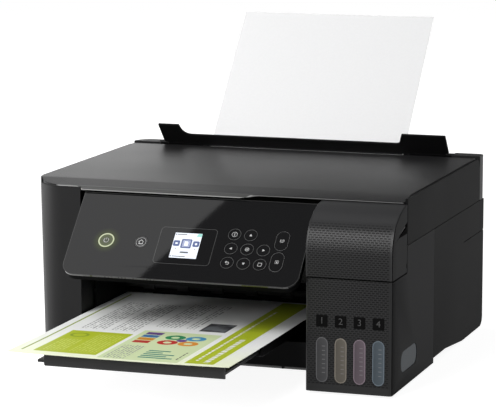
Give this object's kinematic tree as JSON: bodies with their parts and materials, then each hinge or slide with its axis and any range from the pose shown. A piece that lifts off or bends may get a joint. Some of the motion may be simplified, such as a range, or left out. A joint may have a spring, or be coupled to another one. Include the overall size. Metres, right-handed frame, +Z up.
{
  "type": "inkjet printer",
  "caption": "Low desktop inkjet printer with flatbed scanner lid, tilting control panel, front ink tank unit with level windows, rear sheet feeder and pull-out output tray.",
  "frame": {"origin": "on the surface it stands on, under the middle of the box around the printer with its trays and sheets", "axes": "+Z up, +Y from the front to the back, +X to the right seen from the front"},
  "size_m": [0.375, 0.587, 0.308],
  "materials": {
    "inner_plastic": "black moulded plastic with a fine spark-eroded texture",
    "case_plastic": "charcoal moulded plastic, fine grained",
    "tank_unit_plastic": "charcoal moulded plastic with a pressed woven texture on the front",
    "panel_gloss": "high-gloss black panel",
    "display_glass": "lit colour screen under a clear window",
    "lit_key": "glossy key in a lit yellow-green ring",
    "scanner_glass": "clear float glass",
    "white_foam": "white backing sheet on foam",
    "circuit_board": "green solder mask",
    "ink_tank_clear": "smoky translucent moulded tank",
    "printed_paper": "plain paper with a printed page in lime green, white and small coloured blocks",
    "paper": "plain white office paper",
    "rubber": "matt black rubber",
    "steel": "galvanised and turned steel"
  },
  "bodies": {
    "root": {"base_case": "inner_plastic", "left_side_cover": "case_plastic", "right_side_cover": "case_plastic", "rear_cover": "case_plastic", "foot_front_left": "rubber", "foot_front_right": "rubber", "foot_rear_left": "rubber", "foot_rear_right": "rubber", "power_supply": "inner_plastic", "mainboard": "circuit_board", "tank_housing": "tank_unit_plastic", "ink_tank_1": "ink_tank_clear", "ink_tank_2": "ink_tank_clear", "ink_tank_3": "ink_tank_clear", "ink_tank_4": "ink_tank_clear", "feeder_frame": "inner_plastic", "main_frame": "steel", "platen": "inner_plastic", "cap_station": "rubber", "feed_motor": "steel", "carriage_motor": "steel", "carriage_belt": "rubber"},
    "scanner": {"scanner_case": "case_plastic", "scanner_glass": "scanner_glass"},
    "scan_bar": {"scan_bar": "inner_plastic"},
    "document_cover": {"document_cover": "case_plastic", "document_pad": "white_foam"},
    "panel": {"panel_housing": "inner_plastic", "panel_face": "panel_gloss", "display": "display_glass"},
    "power_button": {"power_button": "lit_key"},
    "home_button": {"home_button": "panel_gloss"},
    "key_help": {"key_help": "panel_gloss"},
    "key_up": {"key_up": "panel_gloss"},
    "key_left": {"key_left": "panel_gloss"},
    "key_ok": {"key_ok": "panel_gloss"},
    "key_right": {"key_right": "panel_gloss"},
    "key_back": {"key_back": "panel_gloss"},
    "key_down": {"key_down": "panel_gloss"},
    "key_stop": {"key_stop": "panel_gloss"},
    "key_copy_mono": {"key_copy_mono": "panel_gloss"},
    "key_copy_colour": {"key_copy_colour": "panel_gloss"},
    "tank_cover": {"tank_cover": "tank_unit_plastic"},
    "tank_cap_1": {"tank_cap_1": "rubber"},
    "tank_cap_2": {"tank_cap_2": "rubber"},
    "tank_cap_3": {"tank_cap_3": "rubber"},
    "tank_cap_4": {"tank_cap_4": "rubber"},
    "output_tray": {"output_tray": "inner_plastic"},
    "tray_extension": {"tray_extension": "inner_plastic"},
    "printed_sheet": {"printed_sheet": "printed_paper"},
    "feeder_guard": {"feeder_guard": "inner_plastic"},
    "paper_support": {"paper_support": "case_plastic"},
    "edge_guide_left": {"edge_guide_left": "inner_plastic"},
    "edge_guide_right": {"edge_guide_right": "inner_plastic"},
    "feed_sheet": {"feed_sheet": "paper"},
    "pickup_roller": {"pickup_roller": "rubber"},
    "feed_roller": {"feed_roller": "steel"},
    "exit_roller": {"exit_roller": "rubber"},
    "carriage": {"carriage": "inner_plastic"},
    "belt_pulley": {"belt_pulley": "inner_plastic"}
  },
  "joints": [
    {"name": "scanner_lift", "type": "hinge", "parent": "root", "child": "scanner", "pos_m": [0, 0.15847, 0.166], "axis": [1, 0, 0], "range_deg": [-28, 0]},
    {"name": "document_cover_hinge", "type": "hinge", "parent": "scanner", "child": "document_cover", "pos_m": [0, 0.15997, 0.1725], "axis": [-1, 0, 0], "range_deg": [0, 57]},
    {"name": "scan_bar_travel", "type": "slide", "parent": "scanner", "child": "scan_bar", "axis": [1, 0, 0], "range_m": [0, 0.27]},
    {"name": "panel_tilt", "type": "hinge", "parent": "root", "child": "panel", "pos_m": [0, -0.10233, 0.15681], "axis": [1, 0, 0], "range_deg": [-6, 38]},
    {"name": "power_button_press", "type": "slide", "parent": "panel", "child": "power_button", "axis": [0, 0.7193, -0.6947], "range_m": [0, 0.0005], "stiffness_N_per_m": 300},
    {"name": "home_button_press", "type": "slide", "parent": "panel", "child": "home_button", "axis": [0, 0.7193, -0.6947], "range_m": [0, 0.0005], "stiffness_N_per_m": 300},
    {"name": "key_help_press", "type": "slide", "parent": "panel", "child": "key_help", "axis": [0, 0.7193, -0.6947], "range_m": [0, 0.0005], "stiffness_N_per_m": 300},
    {"name": "key_up_press", "type": "slide", "parent": "panel", "child": "key_up", "axis": [0, 0.7193, -0.6947], "range_m": [0, 0.0005], "stiffness_N_per_m": 300},
    {"name": "key_left_press", "type": "slide", "parent": "panel", "child": "key_left", "axis": [0, 0.7193, -0.6947], "range_m": [0, 0.0005], "stiffness_N_per_m": 300},
    {"name": "key_ok_press", "type": "slide", "parent": "panel", "child": "key_ok", "axis": [0, 0.7193, -0.6947], "range_m": [0, 0.0005], "stiffness_N_per_m": 300},
    {"name": "key_right_press", "type": "slide", "parent": "panel", "child": "key_right", "axis": [0, 0.7193, -0.6947], "range_m": [0, 0.0005], "stiffness_N_per_m": 300},
    {"name": "key_back_press", "type": "slide", "parent": "panel", "child": "key_back", "axis": [0, 0.7193, -0.6947], "range_m": [0, 0.0005], "stiffness_N_per_m": 300},
    {"name": "key_down_press", "type": "slide", "parent": "panel", "child": "key_down", "axis": [0, 0.7193, -0.6947], "range_m": [0, 0.0005], "stiffness_N_per_m": 300},
    {"name": "key_stop_press", "type": "slide", "parent": "panel", "child": "key_stop", "axis": [0, 0.7193, -0.6947], "range_m": [0, 0.0005], "stiffness_N_per_m": 300},
    {"name": "key_copy_mono_press", "type": "slide", "parent": "panel", "child": "key_copy_mono", "axis": [0, 0.7193, -0.6947], "range_m": [0, 0.0005], "stiffness_N_per_m": 300},
    {"name": "key_copy_colour_press", "type": "slide", "parent": "panel", "child": "key_copy_colour", "axis": [0, 0.7193, -0.6947], "range_m": [0, 0.0005], "stiffness_N_per_m": 300},
    {"name": "tank_cover_hinge", "type": "hinge", "parent": "root", "child": "tank_cover", "pos_m": [0.1465, -0.15793, 0.1102], "axis": [1, 0, 0], "range_deg": [0, 80]},
    {"name": "tank_cap_1_hinge", "type": "hinge", "parent": "root", "child": "tank_cap_1", "pos_m": [0.1213, -0.12103, 0.1145], "axis": [-1, 0, 0], "range_deg": [0, 85]},
    {"name": "tank_cap_2_hinge", "type": "hinge", "parent": "root", "child": "tank_cap_2", "pos_m": [0.1391, -0.12103, 0.1145], "axis": [-1, 0, 0], "range_deg": [0, 85]},
    {"name": "tank_cap_3_hinge", "type": "hinge", "parent": "root", "child": "tank_cap_3", "pos_m": [0.1569, -0.12103, 0.1145], "axis": [-1, 0, 0], "range_deg": [0, 85]},
    {"name": "tank_cap_4_hinge", "type": "hinge", "parent": "root", "child": "tank_cap_4", "pos_m": [0.1747, -0.12103, 0.1145], "axis": [-1, 0, 0], "range_deg": [0, 85]},
    {"name": "output_tray_slide", "type": "slide", "parent": "root", "child": "output_tray", "axis": [0, 1, 0], "range_m": [0, 0.07]},
    {"name": "tray_extension_slide", "type": "slide", "parent": "output_tray", "child": "tray_extension", "axis": [0, 1, 0], "range_m": [0, 0.088]},
    {"name": "printed_sheet_out", "type": "slide", "parent": "root", "child": "printed_sheet", "axis": [0, 1, 0], "range_m": [-0.15, 0]},
    {"name": "feeder_guard_hinge", "type": "hinge", "parent": "root", "child": "feeder_guard", "pos_m": [0, 0.17367, 0.1782], "axis": [-1, 0, 0], "range_deg": [-28, 0]},
    {"name": "paper_support_slide", "type": "slide", "parent": "root", "child": "paper_support", "axis": [0, 0.6561, 0.7547], "range_m": [-0.09, 0]},
    {"name": "edge_guide_left_slide", "type": "slide", "parent": "root", "child": "edge_guide_left", "axis": [-1, 0, 0], "range_m": [0, 0.003]},
    {"name": "edge_guide_right_slide", "type": "slide", "parent": "root", "child": "edge_guide_right", "axis": [1, 0, 0], "range_m": [0, 0.003]},
    {"name": "feed_sheet_lift", "type": "slide", "parent": "root", "child": "feed_sheet", "axis": [0, 0.6561, 0.7547], "range_m": [0, 0.1]},
    {"name": "pickup_roller_spin", "type": "hinge", "parent": "root", "child": "pickup_roller", "pos_m": [0, 0.10403, 0.11212], "axis": [1, 0, 0], "continuous": true},
    {"name": "feed_roller_spin", "type": "hinge", "parent": "root", "child": "feed_roller", "pos_m": [0, 0.06447, 0.062], "axis": [1, 0, 0], "continuous": true},
    {"name": "exit_roller_spin", "type": "hinge", "parent": "root", "child": "exit_roller", "pos_m": [0, 0.01247, 0.057], "axis": [1, 0, 0], "continuous": true},
    {"name": "carriage_travel", "type": "slide", "parent": "root", "child": "carriage", "axis": [1, 0, 0], "range_m": [-0.135, 0.11]},
    {"name": "belt_pulley_spin", "type": "hinge", "parent": "root", "child": "belt_pulley", "pos_m": [0.1659, 0.07747, 0.104], "axis": [0, 1, 0], "range_deg": [-1400, 1400]}
  ],
  "couplings": [
    {"joint": "edge_guide_right_slide", "follows": "edge_guide_left_slide", "ratio": 1},
    {"joint": "exit_roller_spin", "follows": "feed_roller_spin", "ratio": 1.6},
    {"joint": "belt_pulley_spin", "follows": "carriage_travel", "rad_per_m": 149.25}
  ]
}
